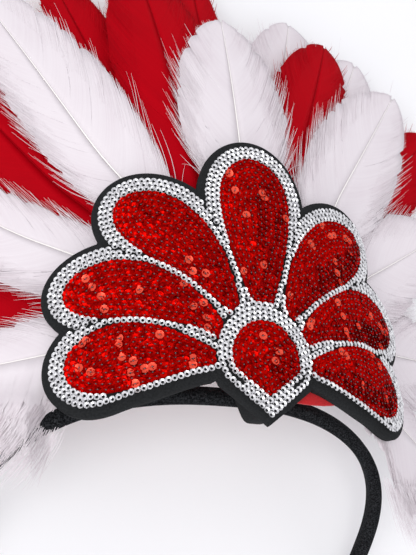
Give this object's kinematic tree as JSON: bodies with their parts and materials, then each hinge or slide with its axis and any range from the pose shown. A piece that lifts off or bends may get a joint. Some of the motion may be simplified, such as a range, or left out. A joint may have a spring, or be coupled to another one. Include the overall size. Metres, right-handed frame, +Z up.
{
  "type": "feathered headdress",
  "caption": "Headdress with a bent foam palmette crest covered in sequins, on a velvet covered headband, with feathers fanned out behind the crest.",
  "frame": {"origin": "centre of the footprint, on the surface that the headdress lies on", "axes": "+Z up, +X to the viewer's right across the crest, +Y towards the top feathers; the headband's arms run back to -Y and down to the surface"},
  "size_m": [0.2856, 0.303, 0.0929],
  "materials": {
    "velvet": "black velvet ribbon",
    "foam": "charcoal craft foam",
    "felt": "red felt",
    "silver_sequins": "silver white cup sequins",
    "red_sequins": "overlapping red sequins on cloth",
    "white_feather": "soft white feather",
    "red_feather": "soft red dyed feather"
  },
  "bodies": {
    "root": {"headband": "velvet", "crest_base": "foam", "felt_backing": "felt", "tip_spacer": "foam", "silver_border": "silver_sequins", "petal_field_1": "red_sequins", "petal_field_2": "red_sequins", "petal_field_3": "red_sequins", "petal_field_4": "red_sequins", "petal_field_5": "red_sequins", "petal_field_6": "red_sequins", "petal_field_7": "red_sequins", "drop_field": "red_sequins", "white_feather_1": "white_feather", "white_feather_2": "white_feather", "white_feather_3": "white_feather", "white_feather_4": "white_feather", "white_feather_5": "white_feather", "white_feather_6": "white_feather", "white_feather_7": "white_feather", "white_feather_8": "white_feather", "white_feather_9": "white_feather", "white_feather_10": "white_feather", "red_feather_1": "red_feather", "red_feather_2": "red_feather", "red_feather_3": "red_feather", "red_feather_4": "red_feather", "red_feather_5": "red_feather", "red_feather_6": "red_feather", "red_feather_7": "red_feather"}
  },
  "joints": []
}
